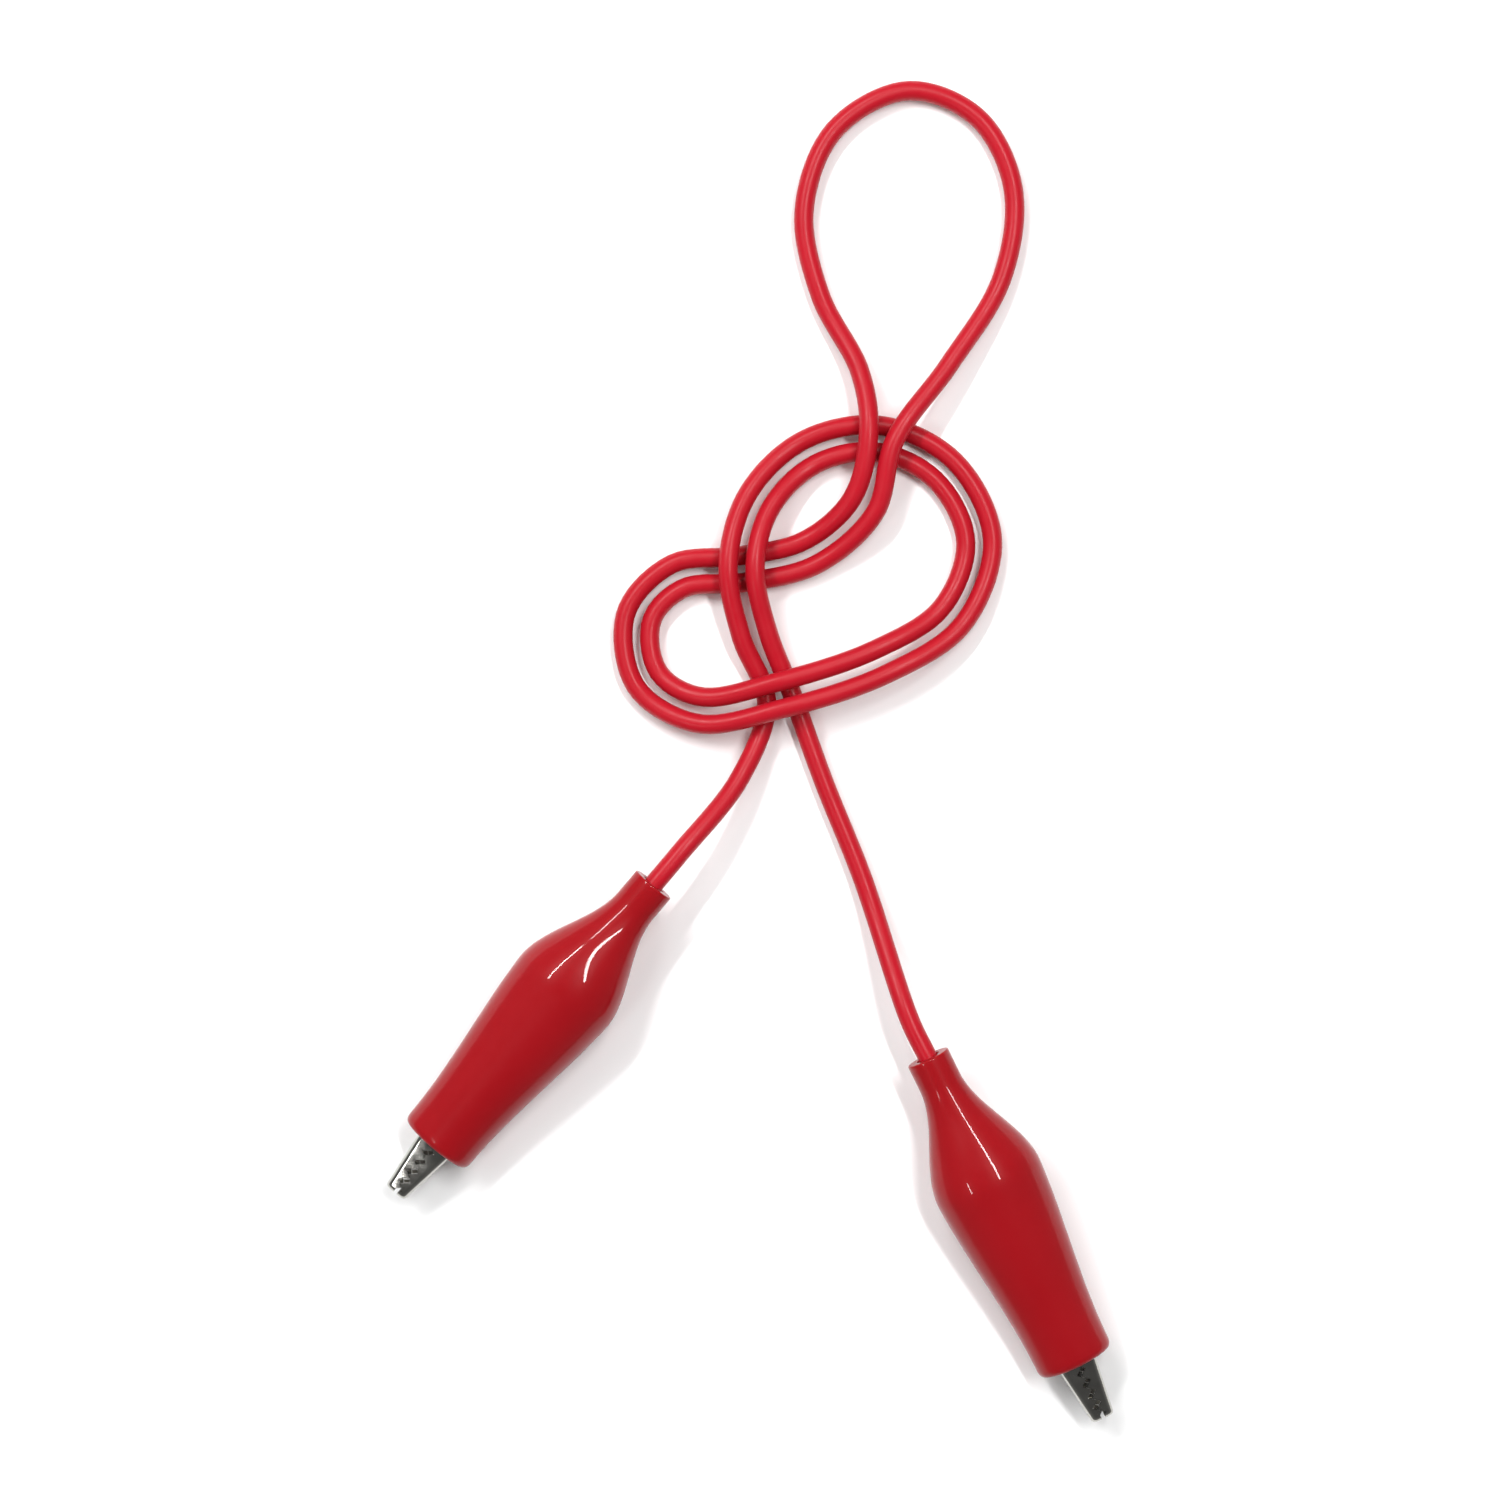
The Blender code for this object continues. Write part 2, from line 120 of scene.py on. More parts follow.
# Pivot and spring
CLEARANCE = 0.3
RIVET_RADIUS = 0.75
LOBE_RADIUS = 2.0
MOVING_EAR_HALF = 1.7
FIXED_EAR_HALF = MOVING_EAR_HALF + CLEARANCE + SHEET
HOLE_RADIUS = RIVET_RADIUS + CLEARANCE
SPRING_WIRE = 0.45
SPRING_RADIUS = RIVET_RADIUS + CLEARANCE + SPRING_WIRE
SPRING_BACK = SPRING_RADIUS + SPRING_WIRE / 2 + SHEET
SPRING_TURNS = 2
SPRING_PITCH = 0.6
SPRING_LEG_X = -7.0

# Crimped barrels
INSULATION_BARREL = (TAIL_END_X, TAIL_END_X + 2.2)
CONDUCTOR_BARREL = (-12.2, -9.6)
INSULATION_Y = -1.1
CONDUCTOR_Y = -3.2
CRIMP_GAP = 0.2               # between a barrel and its wire, closer than in the design
CRIMP_ROOM = 0.45             # the design's own gap there, which sets how deep the tail is
BARREL_DEPTH = CRIMP_ROOM + STRAND_DIAMETER / 2 + SHEET - CONDUCTOR_Y
BARREL_SEAM = 20.0            # half the angle left open where a barrel's wings meet

# Boot
BOOT_WALL = 0.7
NECK_WALL = 1.1               # the neck grips the wire
NECK_END_X = -29.0
BULB_X = -13.4
TAPER_END_X = 8.0
MOUTH_X = 9.0
NECK_Y = WIRE_DIAMETER / 2 + 0.65 + BOOT_WALL
NECK_Z = WIRE_DIAMETER / 2 + 0.5 + BOOT_WALL
BULB_Y = LEVER_HEIGHT + 0.95 + BOOT_WALL
BULB_Z = FIXED_EAR_HALF + 2.0 + BOOT_WALL
MOUTH_Y = JAW_HALF + 1.6 + BOOT_WALL
MOUTH_Z = JAW_HALF + 0.85 + BOOT_WALL
NECK_SHARE = 0.2              # share of the flare over which the neck stays straight
WALL_EASE = (2.5, 4.0)        # how far in the thick wall starts to thin, and over what length
INNER_ROUND = 0.15            # inner edge of both rims
NECK_ROUND = (0.15, 0.15)     # outer edge: how far it reaches along and into the wall
MOUTH_ROUND = (0.9, 0.5)
BOOT_SIDES = 72
BOOT_STATIONS = 72
# The flat strip that the boot rests on, as a share of its half height
STRIP_DROP = math.cos(math.pi / 24)

# The wire's route: x, y from the knot's centre, and the height as a share of one crossing
KNOT = (37.6, 52.2)
DOUBLED = [
    (-7.0, -11.6, 0), (-9.8, -4.4, 0.5), (-11.2, 3.0, 1), (-9.2, 10.4, 0.5), (-3.6, 15.9, 0),
    (4.2, 17.4, 0), (11.6, 13.8, 0), (15.4, 6.0, 0), (12.4, -2.4, 0.25), (4.4, -7.6, 0.85),
    (-7.0, -11.4, 1), (-16.0, -13.0, 0.6), (-21.8, -9.5, 0.1), (-22.7, -2.5, 0), (-18.4, 2.0, 0),
    (-11.2, 2.8, 0), (-3.6, 4.6, 0), (2.4, 9.8, 0.6), (4.4, 17.4, 1),
]
LOOP = [
    (2.0, 24.8, 0.5), (-2.4, 33.5, 0), (-4.2, 43.0, 0), (-0.8, 52.0, 0), (7.4, 56.4, 0),
    (15.2, 53.4, 0), (19.2, 45.5, 0), (18.0, 35.5, 0), (12.0, 25.6, 0.5),
]
TAIL_A = [(-11.4, -20.6, 0.6)]
TAIL_B = [(-2.0, -21.0, 0), (2.4, -32.0, 0.1)]
WIRE_END = [
    (INSULATION_BARREL[1] - 0.2, INSULATION_Y, 0), (INSULATION_BARREL[0] - 1.5, INSULATION_Y, 0),
    (NECK_END_X + 3.5, 0, 0), (NECK_END_X, 0, 0), (NECK_END_X - 4.5, 0, -0.6),
]

# Outlines of the sheet parts: (x, depth of the back below the pivot, half width)
FRONT_OUTLINE = [(-3.0, SPRING_BACK + 0.95), (3.0, SPRING_BACK + 0.55)]
NOSE_OUTLINE = [(MOUTH_X + 0.2, 2.15, JAW_HALF), (NOSE_X + TOOTH_PITCH / 4, 1.35, 1.5)]
FIXED_OUTLINE = [(-14.2, 3.7, 1.5),
                 (-13.0, BARREL_DEPTH - 0.2, 1.4), (-8.6, BARREL_DEPTH - 0.2, 1.5),
                 *[(*row, FIXED_EAR_HALF) for row in FRONT_OUTLINE], *NOSE_OUTLINE]
MOVING_OUTLINE = [(LEVER_END_X, LEVER_HEIGHT, 1.5), (-6.0, LEVER_HEIGHT - 0.75, MOVING_EAR_HALF),
                  *[(*row, MOVING_EAR_HALF) for row in FRONT_OUTLINE], *NOSE_OUTLINE]
# Free edges behind the ears: (x, height above the pivot's line)
FIXED_TAIL_EDGE = [(-14.2, -1.6), (-13.0, -2.2), (-8.6, -2.4), (-4.0, -1.5), (-2.6, -0.9)]
LEVER_EDGE = [(LEVER_END_X, 0.7 - LEVER_HEIGHT), (-6.0, -2.9), (-4.0, -2.2), (-3.0, -1.2)]
FOLD_POINTS = 8               # round each long fold
BACK_POINTS = 5               # across the back between the folds

# Stage, in metres: soft lamps by their place from the middle of the lead, tube lamps as they stand
FLOOR_SIZE = 4.0
FLOOR_DROP = 0.0002
LENS = 100
FRAME_ROOM = 1.1              # picture height as a multiple of the lead's length
SOFT_LAMPS = [
    # name, place, size, watts
    ("key_left", (-0.55, 0.25, 0.6), (0.5, 0.6), 2.1),
    ("fill_right", (0.6, -0.1, 0.6), (0.6, 0.6), 0.9),
    ("top_back", (0.0, 0.65, 0.55), (0.7, 0.3), 0.9),
]
TUBE_LAMPS = [
    # name, start, end, target, width, watts
    ("tube_left", (-0.36, 0.23, 0.6), (-0.12, 0.57, 0.6), (0, 0, 0), 0.03, 3.0),
    ("tube_right", (0.28, 0.01, 0.6), (0.13, 0.34, 0.6), (0.06, -0.02, 0), 0.03, 2.4),
    ("tube_low", (-0.35, -0.145, 0.6), (-0.276, -0.289, 0.6), (0.06, -0.02, 0), 0.026, 0.55),
]
ROOM_LEVELS = [(0.05, 0.45), (0.85, 0.15)]    # (height, brightness): paler near the horizon
ROOM_STRENGTH = 0.65


# ---------------------------------------------------------------- materials

def shader_of(name):
    """A new material with its node tree and its Principled shader."""
    made = bpy.data.materials.new(name)
    made.use_nodes = True
    tree = made.node_tree
    return made, tree, tree.nodes["Principled BSDF"]


def noise(tree, scale, detail=2.0):
    """Noise in the piece's own coordinates, in cells per metre."""
    place = tree.nodes.new("ShaderNodeTexCoord")
    texture = tree.nodes.new("ShaderNodeTexNoise")
    texture.inputs["Scale"].default_value = scale
    texture.inputs["Detail"].default_value = detail
    tree.links.new(place.outputs["Object"], texture.inputs["Vector"])
    return texture.outputs["Fac"]


def blend_colours(tree, factor, first, second):
    """A colour between two, by a factor from 0 to 1."""
    mix = tree.nodes.new("ShaderNodeMix")
    mix.data_type = "RGBA"
    mix.inputs["A"].default_value = (*first, 1)
    mix.inputs["B"].default_value = (*second, 1)
    tree.links.new(factor, mix.inputs["Factor"])
    return mix.outputs["Result"]


def spread(tree, factor, low, high):
    """Noise, which mostly lies between 0.3 and 0.7, spread over the range from low to high."""
    mapped = tree.nodes.new("ShaderNodeMapRange")
    mapped.inputs["From Min"].default_value = 0.3
    mapped.inputs["From Max"].default_value = 0.7
    mapped.inputs["To Min"].default_value = low
    mapped.inputs["To Max"].default_value = high
    tree.links.new(factor, mapped.inputs["Value"])
    return mapped.outputs["Result"]


def bump(tree, shader, factor, strength, height_mm):
    """Small unevenness of the surface, by a height factor."""
    node = tree.nodes.new("ShaderNodeBump")
    node.inputs["Strength"].default_value = strength
    node.inputs["Distance"].default_value = height_mm * MM
    tree.links.new(factor, node.inputs["Height"])
    tree.links.new(node.outputs["Normal"], shader.inputs["Normal"])


def vinyl():
    """Glossy dipped vinyl, a little translucent, with a faintly wavy skin."""
    made, tree, shader = shader_of("red_vinyl")
    colour = blend_colours(tree, noise(tree, 90, 1.5), (0.27, 0.004, 0.007), (0.32, 0.006, 0.010))
    tree.links.new(colour, shader.inputs["Base Color"])
    tree.links.new(spread(tree, noise(tree, 500), 0.29, 0.38), shader.inputs["Roughness"])
    shader.inputs["IOR"].default_value = 1.4
    shader.inputs["Specular IOR Level"].default_value = 0.1
    shader.inputs["Coat Weight"].default_value = 0.5
    shader.inputs["Coat IOR"].default_value = 1.4
    shader.inputs["Coat Roughness"].default_value = 0.03
    shader.inputs["Subsurface Weight"].default_value = 0.12
    shader.inputs["Subsurface Radius"].default_value = (1.0, 0.2, 0.15)
    shader.inputs["Subsurface Scale"].default_value = 0.0012
    bump(tree, shader, noise(tree, 260, 1.0), 0.35, 0.05)
    return made


def wire_cover():
    """Extruded PVC: brighter than the boots, satin, with slight drawing marks."""
    made, tree, shader = shader_of("red_wire_cover")
    colour = blend_colours(tree, noise(tree, 120), (0.40, 0.004, 0.013), (0.46, 0.009, 0.020))
    tree.links.new(colour, shader.inputs["Base Color"])
    tree.links.new(spread(tree, noise(tree, 900), 0.30, 0.42), shader.inputs["Roughness"])
    shader.inputs["IOR"].default_value = 1.45
    shader.inputs["Specular IOR Level"].default_value = 0.25
    bump(tree, shader, noise(tree, 1500), 0.15, 0.012)
    return made


def plated(name, first, second, roughness, scale=700):
    """Metal whose tone and polish vary a little across the sheet or wire."""
    made, tree, shader = shader_of(name)
    grain = noise(tree, scale, 3.0)
    tree.links.new(blend_colours(tree, grain, first, second), shader.inputs["Base Color"])
    tree.links.new(spread(tree, grain, *roughness), shader.inputs["Roughness"])
    shader.inputs["Metallic"].default_value = 1.0
    bump(tree, shader, noise(tree, scale * 2), 0.2, 0.012)
    return made


def floor_paper():
    """Plain matt white."""
    made, tree, shader = shader_of("white_sweep")
    colour = blend_colours(tree, noise(tree, 40), (0.93, 0.93, 0.93), (0.95, 0.95, 0.95))
    tree.links.new(colour, shader.inputs["Base Color"])
    shader.inputs["Roughness"].default_value = 0.9
    shader.inputs["Specular IOR Level"].default_value = 0.1
    return made


# ---------------------------------------------------------------- shapes

def mesh_object(name, vertices, faces, matrix, surface, sharp_angle=40.0):
    """One closed body, its corners given in millimetres in the frame of matrix."""
    mesh = bpy.data.meshes.new(name)
    mesh.from_pydata([matrix @ (Vector(v) * MM) for v in vertices], [], faces)
    shape = bmesh.new()
    shape.from_mesh(mesh)
    bmesh.ops.recalc_face_normals(shape, faces=shape.faces)
    shape.to_mesh(mesh)
    shape.free()
    mesh.shade_smooth()
    mesh.set_sharp_from_angle(angle=math.radians(sharp_angle))
    mesh.materials.append(surface)
    made = bpy.data.objects.new(name, mesh)
    bpy.context.collection.objects.link(made)
    return made


def round_wire(name, runs, diameter, surface, sides=5):
    """Round wires along lists of points, in millimetres in the world, with closed ends."""
    curve = bpy.data.curves.new(name, "CURVE")
    curve.dimensions = "3D"
    curve.bevel_depth = diameter / 2 * MM
    curve.bevel_resolution = sides
    curve.use_fill_caps = True
    for run in runs:
        spline = curve.splines.new("POLY")
        spline.points.add(len(run) - 1)
        for point, place in zip(spline.points, run):
            point.co = (*(Vector(place) * MM), 1.0)
        spline.use_smooth = True
    curve.materials.append(surface)
    made = bpy.data.objects.new(name, curve)
    bpy.context.collection.objects.link(made)
    return made


def as_mesh(curve_object):
    """The same piece as a mesh of its own."""
    bpy.context.view_layer.update()
    evaluated = curve_object.evaluated_get(bpy.context.evaluated_depsgraph_get())
    mesh = bpy.data.meshes.new_from_object(evaluated)
    mesh.shade_smooth()
    mesh.set_sharp_from_angle(angle=math.radians(50))
    name = curve_object.name
    bpy.data.objects.remove(curve_object)
    made = bpy.data.objects.new(name, mesh)
    bpy.context.collection.objects.link(made)
    return made


def quarter_turn(steps):
    """Angles from nought to a right angle, in equal steps."""
    return [math.pi / 2 * k / steps for k in range(steps + 1)]


def ease(share):
    """Nought to one with a level start and end."""
    return share * share * (3 - 2 * share)


def smooth_run(points, spacing):
    """Points every spacing millimetres or so along a smooth curve through the given ones."""
    given = np.array(points, float)
    step = np.sqrt(np.linalg.norm(np.diff(given, axis=0), axis=1))
    place = np.concatenate([[0.0], np.cumsum(step)])
    rate = np.diff(given, axis=0) / step[:, None]
    chord = (given[2:] - given[:-2]) / (step[:-1] + step[1:])[:, None]
    slope = np.vstack([rate[:1], rate[:-1] + rate[1:] - chord, rate[-1:]])
    before, after = rate[:-1, 2], rate[1:, 2]
    climbing = before * after > 0
    total = np.where(climbing, before + after, 1.0)
    slope[1:-1, 2] = np.where(climbing, 2 * before * after / total, 0.0)

    along = np.linspace(0.0, place[-1], 60 * len(given))
    k = np.clip(np.searchsorted(place, along, side="right") - 1, 0, len(step) - 1)
    width = step[k][:, None]
    s = (along - place[k])[:, None] / width
    fine = (given[k] * (1 + 2 * s) * (1 - s) ** 2 + given[k + 1] * s ** 2 * (3 - 2 * s)
            + width * s * (1 - s) * (slope[k] * (1 - s) - slope[k + 1] * s))
    travelled = np.concatenate([[0.0], np.cumsum(np.linalg.norm(np.diff(fine, axis=0), axis=1))])
    count = round(travelled[-1] / spacing) + 1
    even = np.linspace(0.0, travelled[-1], count)
    return [tuple(np.interp(d, travelled, fine[:, axis]) for axis in range(3)) for d in even]


def shifted(points, offset):
    """The points moved sideways in plan, to the left of the way they run."""
    given = np.array(points, float)
    way = np.gradient(given[:, :2], axis=0)
    way /= np.linalg.norm(way, axis=1)[:, None]
    given[:, 0] -= way[:, 1] * offset
    given[:, 1] += way[:, 0] * offset
    return given.tolist()


def in_world(matrix, points):
    """Local millimetres to world millimetres."""
    return [tuple(matrix @ (Vector(p) * MM) / MM) for p in points]


# ---------------------------------------------------------------- pieces

def clip_matrices(frame):
    """Each clip's own frame, from its hinge and from the mounts on the backs of its two jaws."""
    mounts = {m["name"]: Vector(m["pos_m"]) for m in frame["record"]["mounts"]}
    found = {}
    for joint in frame["joints"]:
        suffix = joint["child"][-1]
        up = Vector(joint["axis"]).normalized()
        opening = mounts["moving_back_" + suffix] - mounts["fixed_back_" + suffix]
        forward = opening.cross(up).normalized()
        side = up.cross(forward)
        turn = Matrix((forward, side, up)).transposed().to_4x4()
        found[suffix] = Matrix.Translation(Vector(joint["pos_m"])) @ turn
    return found


def lead_wire(clips, surface):
    """The whole wire as one cord: out of clip a, through the knot and the loop, into clip b."""
    level = WIRE_DIAMETER / 2 + FLOOR_GAP
    lift = WIRE_DIAMETER + STRAND_GAP
    left = shifted(DOUBLED, lift / 2)
    right = shifted(DOUBLED, -lift / 2)
    knotted = [*TAIL_A, *left, *LOOP, *right[::-1], *TAIL_B]
    laid = [(x + KNOT[0], y + KNOT[1], level + z * lift) for x, y, z in knotted]
    route = [*in_world(clips["a"], WIRE_END), *laid, *in_world(clips["b"], WIRE_END)[::-1]]
    run = smooth_run(route, WIRE_STEP)
    wire = round_wire("red_wire", [run], WIRE_DIAMETER, surface, sides=8)
    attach(wire, "lead")
    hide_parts("lead_wire")


def boot_half_sizes(x):
    """Outer half sizes of the boot along y and z: an S-shaped flare, then a taper, straight in z."""
    if x <= BULB_X:
        along = (x - NECK_END_X) / (BULB_X - NECK_END_X)
        share = ease(max(0.0, (along - NECK_SHARE) / (1 - NECK_SHARE)))
        return NECK_Y + (BULB_Y - NECK_Y) * share, NECK_Z + (BULB_Z - NECK_Z) * share
    share = (x - BULB_X) / (TAPER_END_X - BULB_X)
    left_y = (1 - share) ** 2 * (1 + 1.5 * share)
    return MOUTH_Y + (BULB_Y - MOUTH_Y) * left_y, BULB_Z + (MOUTH_Z - BULB_Z) * share


def boot_wall(x):
    """Thick round the wire at the neck, then easing to the thin wall of the sleeve."""
    start, length = WALL_EASE
    share = min(1.0, max(0.0, (x - NECK_END_X - start) / length))
    return NECK_WALL + (BOOT_WALL - NECK_WALL) * ease(share)


def rim(x_end, way, wall, outer_round):
    """Stations round one end of the boot, as (x, inset), from its outer skin to its inner one."""
    reach, drop = outer_round
    stations = []
    for turn in quarter_turn(8):
        stations.append((x_end - way * reach * (1 - math.sin(turn)), drop * (1 - math.cos(turn))))
    for turn in quarter_turn(5):
        stations.append((x_end - way * INNER_ROUND * (1 - math.cos(turn)),
                         wall - INNER_ROUND * (1 - math.sin(turn))))
    return stations


def boot(suffix, clip, surface):
    """Hollow sleeve, open at the neck and at the mouth, with rounded rims."""
    between = np.linspace(NECK_END_X + NECK_ROUND[0], MOUTH_X - MOUTH_ROUND[0],
                          BOOT_STATIONS)[1:-1]
    outside = [(x, 0.0) for x in between]
    inside = [(x, boot_wall(x)) for x in between[::-1]]
    stations = [*outside, *rim(MOUTH_X, 1, BOOT_WALL, MOUTH_ROUND), *inside,
                *rim(NECK_END_X, -1, NECK_WALL, NECK_ROUND)[::-1]]
    angles = [math.tau * side / BOOT_SIDES for side in range(BOOT_SIDES)]
    vertices = []
    for x, inset in stations:
        half_y, half_z = boot_half_sizes(x)
        for angle in angles:
            height = (half_z - inset) * math.sin(angle)
            vertices.append((x, (half_y - inset) * math.cos(angle),
                             max(height, inset - STRIP_DROP * half_z)))
    rings = len(stations)
    faces = []
    for ring in range(rings):
        ahead = (ring + 1) % rings
        for side in range(BOOT_SIDES):
            across = (side + 1) % BOOT_SIDES
            faces.append((ring * BOOT_SIDES + side, ring * BOOT_SIDES + across,
                          ahead * BOOT_SIDES + across, ahead * BOOT_SIDES + side))
    made = mesh_object("vinyl_boot_" + suffix, vertices, faces, clip, surface, 60.0)
    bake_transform(made)
    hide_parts("boot_" + suffix)


def trough(depth, half, edge):
    """Middle line of a U-shaped fold with a slightly crowned back, from one edge to the other."""
    side = half - SHEET / 2
    floor = SHEET / 2 - depth
    fold = [(floor + FOLD_RADIUS * (1 - math.sin(a)), side - FOLD_RADIUS * (1 - math.cos(a)))
            for a in quarter_turn(FOLD_POINTS - 1)]
    right = [(edge, side), *fold]
    flat = side - FOLD_RADIUS
    back = []
    for k in range(1, BACK_POINTS + 1):
        share = 1 - 2 * k / (BACK_POINTS + 1)
        back.append((floor - CROWN * (1 - share * share), flat * share))
    return right + back + [(y, -z) for y, z in right[::-1]]


def barrel(centre_y, diameter):
    """Middle line of two wings curled round a wire, with as many points as a trough."""
    count = 2 * (FOLD_POINTS + 1) + BACK_POINTS
    step = math.radians(360 - 2 * BARREL_SEAM) / (count - 1)
    radius = diameter / 2 + CRIMP_GAP + SHEET / 2
    angles = [math.radians(BARREL_SEAM) + step * k for k in range(count)]
    return [(centre_y + radius * math.cos(a), radius * math.sin(a)) for a in angles]


def offset_line(line, distance):
    """The line moved outward by distance, with mitred corners."""
    points = [Vector(p) for p in line]
    normals = []
    for start, end in zip(points, points[1:]):
        way = (end - start).normalized()
        normals.append(Vector((way.y, -way.x)))
    moved = []
    for k, point in enumerate(points):
        first = normals[max(k - 1, 0)]
        second = normals[min(k, len(normals) - 1)]
        moved.append(point + (first + second) * distance / (1 + first.dot(second)))
    return moved


def folded_sheet(name, stations, clip, surface, upper=False):
    """Sheet part lofted through (x, middle line) stations, open behind, closed at the nose."""
    vertices = []
    for x, line in stations:
        back_off = SHEET * max(0.0, (x - NOSE_X) / (TIP_X - NOSE_X))
        vertices += [(x, *p) for p in offset_line(line, SHEET / 2)]
        vertices += [(x - back_off, *p) for p in offset_line(line, -SHEET / 2)]
    if upper:
        vertices = [(x, -y, z) for x, y, z in vertices]
    wide = len(stations[0][1])
    faces = []

    def outer(station, k):
        return station * 2 * wide + k

    def inner(station, k):
        return outer(station, k) + wide

    last = len(stations) - 1
    for i in range(last):
        for k in range(wide - 1):
            for skin in (outer, inner):
                faces.append((skin(i, k), skin(i + 1, k), skin(i + 1, k + 1), skin(i, k + 1)))
        for k in (0, wide - 1):
            faces.append((outer(i, k), outer(i + 1, k), inner(i + 1, k), inner(i, k)))
    for k in range(wide - 1):
        faces.append((outer(0, k), outer(0, k + 1), inner(0, k + 1), inner(0, k)))
    faces.append([outer(last, k) for k in range(wide)])
    faces.append([inner(last, k) for k in range(wide)])
    faces.append((outer(last, 0), outer(last, wide - 1), inner(last, wide - 1), inner(last, 0)))
    return mesh_object(name, vertices, faces, clip, surface)


def read_outline(outline, x, column):
    """The outline's depth (column 1) or half width (column 2) at x."""
    return float(np.interp(x, [row[0] for row in outline], [row[column] for row in outline]))


def nose_stations():
    """Rounded nose: the width and the depth draw in over the last stretch, as a quarter ellipse."""
    start_x, start_depth, start_half = NOSE_OUTLINE[-1]
    stations = []
    for turn in quarter_turn(7)[1:]:
        x = start_x + (TIP_X - start_x) * math.sin(turn)
        draw = 1 - math.cos(turn)
        line = trough(start_depth - 0.3 * draw, start_half - 0.75 * draw, -BITE_GAP / 2)
        stations.append((x, line))
    return stations


def jaw_stations(outline, tail_edge, tooth_side, shift):
    """Stations of a jaw from its tail to the tip; tooth_side sets which teeth stand first."""
    shut = -BITE_GAP / 2
    edges = list(tail_edge)
    for k in range(17):
        turn = math.pi * k / 16
        edges.append((-LOBE_RADIUS * math.cos(turn), LOBE_RADIUS * math.sin(turn)))
    edges += [(LOBE_RADIUS + 0.6, shut), (TEETH_START_X - TOOTH_PITCH, shut)]
    steps = round((NOSE_X - TEETH_START_X) / TOOTH_PITCH * 2)
    for k in range(steps + 1):
        x = TEETH_START_X + (NOSE_X - TEETH_START_X) * k / steps
        edges.append((x + shift, shut + tooth_side * TOOTH_HEIGHT / 2 * (-1) ** k))
    edges.append((NOSE_OUTLINE[-1][0], shut))
    stations = [(x, trough(read_outline(outline, x, 1), read_outline(outline, x, 2), edge))
                for x, edge in edges]
    return stations + nose_stations()


def drill(jaw, clip, surface):
    """The rivet's hole through a jaw's ears, then softly rounded stamped edges."""
    mesh = bpy.data.meshes.new("rivet_hole")
    shape = bmesh.new()
    bmesh.ops.create_cone(shape, cap_ends=True, segments=48, radius1=HOLE_RADIUS * MM,
                          radius2=HOLE_RADIUS * MM, depth=3 * FIXED_EAR_HALF * MM)
    shape.to_mesh(mesh)
    shape.free()
    mesh.transform(clip)
    mesh.materials.append(surface)
    cutter = bpy.data.objects.new("rivet_hole", mesh)
    bpy.context.collection.objects.link(cutter)
    cut = jaw.modifiers.new("hole", "BOOLEAN")
    cut.operation = "DIFFERENCE"
    cut.solver = "EXACT"
    cut.object = cutter
    soft = jaw.modifiers.new("edges", "BEVEL")
    soft.width = EDGE_ROUND * MM
    soft.segments = 2
    soft.limit_method = "ANGLE"
    soft.angle_limit = math.radians(38)
    soft.harden_normals = True
    bpy.context.view_layer.update()
    evaluated = jaw.evaluated_get(bpy.context.evaluated_depsgraph_get())
    jaw.modifiers.clear()
    jaw.data = bpy.data.meshes.new_from_object(evaluated)
    bpy.data.objects.remove(cutter)


def jaws(suffix, clip, surface):
    """Both jaws of one clip; the fixed one's tail runs through its two barrels."""
    fixed = [(x, barrel(INSULATION_Y, WIRE_DIAMETER)) for x in INSULATION_BARREL]
    front = jaw_stations(FIXED_OUTLINE, FIXED_TAIL_EDGE, 1, 0.0)
    fixed += [s for s in front if s[0] < CONDUCTOR_BARREL[0]]
    fixed += [(x, barrel(CONDUCTOR_Y, STRAND_DIAMETER)) for x in CONDUCTOR_BARREL]
    fixed += [s for s in front if s[0] > CONDUCTOR_BARREL[1]]
    lower = folded_sheet("plated_fixed_jaw_" + suffix, fixed, clip, surface)
    lever = jaw_stations(MOVING_OUTLINE, LEVER_EDGE, -1, TOOTH_SHIFT)
    upper = folded_sheet("plated_moving_jaw_" + suffix, lever, clip, surface, upper=True)
    for jaw, body, node in ((lower, "lead", "fixed_jaw_"), (upper, "jaw_" + suffix, "moving_jaw_")):
        drill(jaw, clip, surface)
        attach(jaw, body)
        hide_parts(node + suffix)


def spring_leg(outline, side):
    """Height of a spring leg that just clears the back of its jaw."""
    inner_face = read_outline(outline, SPRING_LEG_X, 1) - SHEET
    return side * (inner_face - CLEARANCE - SPRING_WIRE / 2)


def torsion_spring(suffix, clip, surface):
    """Coil round the rivet whose upper leg goes with the lever."""
    low = Vector((SPRING_LEG_X, spring_leg(FIXED_OUTLINE, -1)))
    high = Vector((SPRING_LEG_X, spring_leg(MOVING_OUTLINE, 1)))

    def tangent_angle(leg, side):
        return math.atan2(leg.y, leg.x) - side * math.acos(SPRING_RADIUS / leg.length)

    start = tangent_angle(low, -1)
    end = tangent_angle(high, 1) + math.tau * SPRING_TURNS
    if end - start < math.tau * SPRING_TURNS:
        end += math.tau
    sweep = end - start
    rise = SPRING_PITCH * sweep / math.tau
    count = round(sweep / math.radians(9))
    coil = [(SPRING_RADIUS * math.cos(start + sweep * k / count),
             SPRING_RADIUS * math.sin(start + sweep * k / count), rise * (k / count - 0.5))
            for k in range(count + 1)]
    run = [(*low, -rise / 2), *coil, (*high, rise / 2)]
    curve = round_wire("coiled_spring_" + suffix, [in_world(clip, run)], SPRING_WIRE, surface)
    made = as_mesh(curve)
    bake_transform(made)
    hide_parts("torsion_spring_" + suffix)


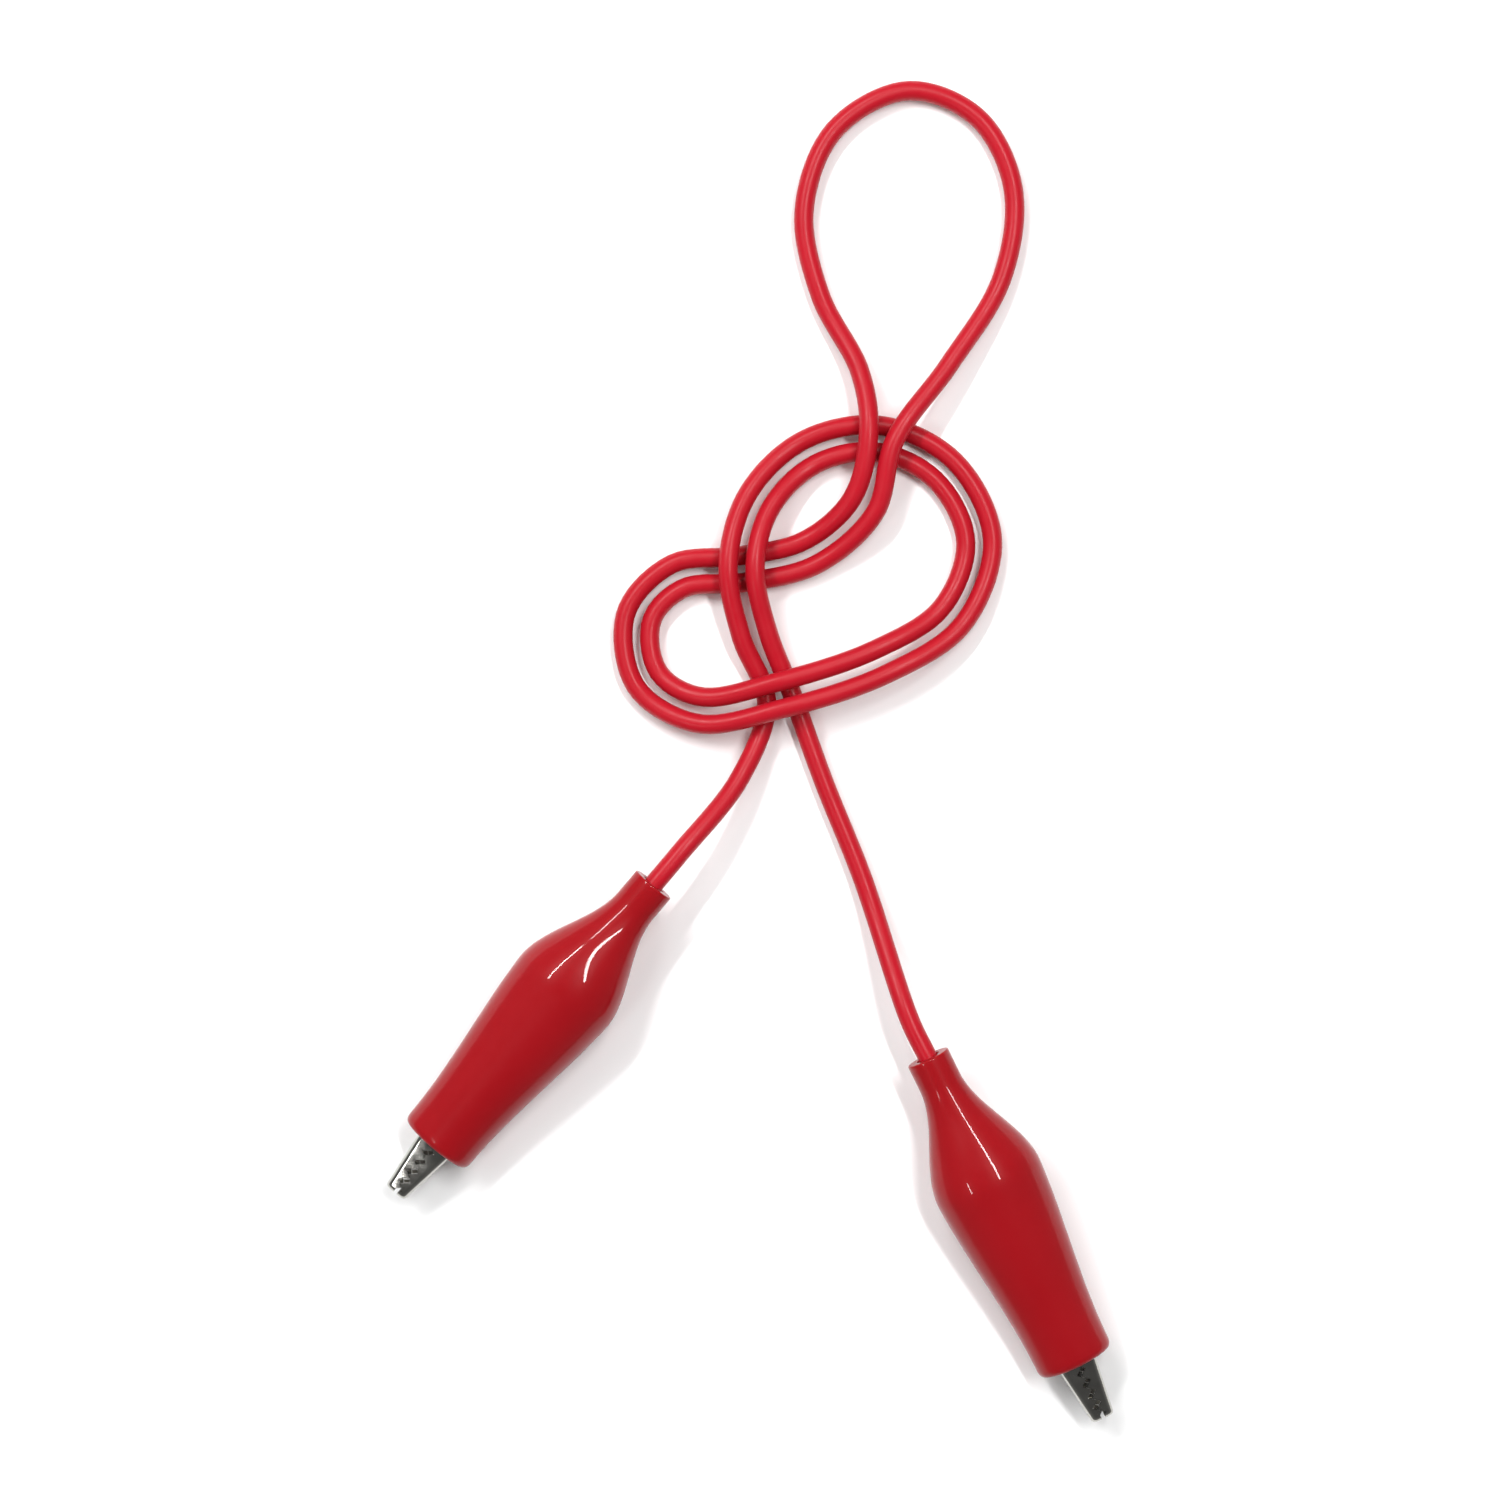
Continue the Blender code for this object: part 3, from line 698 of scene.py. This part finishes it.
def bare_strands(suffix, clip, surface):
    """Seven twisted strands from the cut cover down into their own barrel."""
    start_x = WIRE_END[0][0] + CLEARANCE
    route = [(start_x, INSULATION_Y, 0), (start_x + 0.4, INSULATION_Y, 0),
             (CONDUCTOR_BARREL[0] - 0.2, CONDUCTOR_Y, 0),
             (CONDUCTOR_BARREL[1] + 0.5, CONDUCTOR_Y, 0)]
    middle = np.array(smooth_run(route, 0.25))
    way = np.gradient(middle, axis=0)
    way /= np.linalg.norm(way, axis=1)[:, None]
    across = np.stack([-way[:, 1], way[:, 0], np.zeros(len(way))], axis=1)
    twist = np.linspace(0.0, math.radians(300), len(middle))
    radius = STRAND_DIAMETER / 3
    runs = [middle.tolist()]
    for strand in range(6):
        turn = twist + math.tau * strand / 6
        lifted = middle + radius * (np.cos(turn)[:, None] * across
                                    + np.sin(turn)[:, None] * np.array([0, 0, 1.0]))
        runs.append(lifted.tolist())
    runs = [in_world(clip, run) for run in runs]
    made = round_wire("copper_strands_" + suffix, runs, STRAND_DIAMETER / 3.1, surface, sides=3)
    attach(made, "lead")
    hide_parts("conductor_end_" + suffix)


# ---------------------------------------------------------------- camera, light, floor

def stage():
    """Plain floor, just under the lead."""
    bpy.ops.mesh.primitive_plane_add(size=FLOOR_SIZE, location=(0, 0, -FLOOR_DROP))
    floor = bpy.context.object
    floor.name = "white_floor"
    floor.data.materials.append(floor_paper())
    floor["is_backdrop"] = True


def area_light(name, place, target, size, watts, mirrored=False):
    """Rectangular lamp; only a mirrored one shows as a highlight of its own in glossy skins."""
    data = bpy.data.lights.new(name, "AREA")
    data.shape = "RECTANGLE"
    data.size, data.size_y = size
    data.energy = watts
    lamp = bpy.data.objects.new(name, data)
    lamp.location = place
    lamp.rotation_euler = (Vector(target) - Vector(place)).to_track_quat("-Z", "Y").to_euler()
    lamp.visible_glossy = mirrored
    bpy.context.collection.objects.link(lamp)
    return lamp


def tube_lamp(name, start, end, target, width, watts):
    """Long thin lamp from start to end, facing the target; it puts a bright line on the boots."""
    middle = (Vector(start) + Vector(end)) / 2
    along = Vector(end) - Vector(start)
    lamp = area_light(name, middle, target, (width, along.length), watts, mirrored=True)
    back = (middle - Vector(target)).normalized()
    side = along.cross(back).normalized()
    turn = Matrix((side, back.cross(side), back)).transposed()
    lamp.rotation_euler = turn.to_euler()


def camera(low, high):
    """Straight above, with +Y up the picture, and the lead filling the frame."""
    middle = (low + high) / 2
    reach = max(high.x - low.x, high.y - low.y)
    data = bpy.data.cameras.new("overhead")
    data.lens = LENS
    data.clip_start = 0.01
    data.clip_end = 10
    distance = reach * FRAME_ROOM * data.lens / data.sensor_width
    made = bpy.data.objects.new("overhead", data)
    made.location = (middle.x, middle.y, high.z + distance)
    bpy.context.collection.objects.link(made)
    bpy.context.scene.camera = made


def light(middle):
    """Lamps, and a soft room that is paler near its horizon."""
    x, y = middle.x, middle.y
    for name, (right, up, height), size, watts in SOFT_LAMPS:
        area_light(name, (x + right, y + up, height), (x, y, 0), size, watts)
    for lamp in TUBE_LAMPS:
        tube_lamp(*lamp)
    world = bpy.data.worlds.new("soft_room")
    bpy.context.scene.world = world
    world.use_nodes = True
    tree = world.node_tree
    background = tree.nodes["Background"]
    where = tree.nodes.new("ShaderNodeTexCoord")
    split = tree.nodes.new("ShaderNodeSeparateXYZ")
    ramp = tree.nodes.new("ShaderNodeValToRGB")
    for element, (height, level) in zip(ramp.color_ramp.elements, ROOM_LEVELS):
        element.position = height
        element.color = (level, level, level, 1)
    tree.links.new(where.outputs["Generated"], split.inputs["Vector"])
    tree.links.new(split.outputs["Z"], ramp.inputs["Fac"])
    tree.links.new(ramp.outputs["Color"], background.inputs["Color"])
    background.inputs["Strength"].default_value = ROOM_STRENGTH


def main():
    for old in list(bpy.data.objects):
        bpy.data.objects.remove(old, do_unlink=True)
    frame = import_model()
    low, high = (Vector(corner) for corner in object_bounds())
    clips = clip_matrices(frame)
    boots = vinyl()
    plate = plated("nickel_plate", (0.42, 0.41, 0.38), (0.54, 0.53, 0.49), (0.08, 0.18))
    spring = plated("spring_steel", (0.30, 0.30, 0.31), (0.42, 0.42, 0.43), (0.29, 0.38), 900)
    copper = plated("bare_copper", (0.66, 0.30, 0.17), (0.80, 0.42, 0.26), (0.29, 0.38), 1200)
    rivet = plated("rivet_steel", (0.44, 0.44, 0.43), (0.56, 0.56, 0.54), (0.29, 0.38), 800)
    lead_wire(clips, wire_cover())
    for suffix, clip in clips.items():
        boot(suffix, clip, boots)
        jaws(suffix, clip, plate)
        torsion_spring(suffix, clip, spring)
        bare_strands(suffix, clip, copper)
        for material_slot in frame["nodes"]["pivot_rivet_" + suffix].material_slots:
            material_slot.material = rivet
    stage()
    camera(low, high)
    light((low + high) / 2)
    bpy.context.scene.view_settings.view_transform = "Standard"


main()
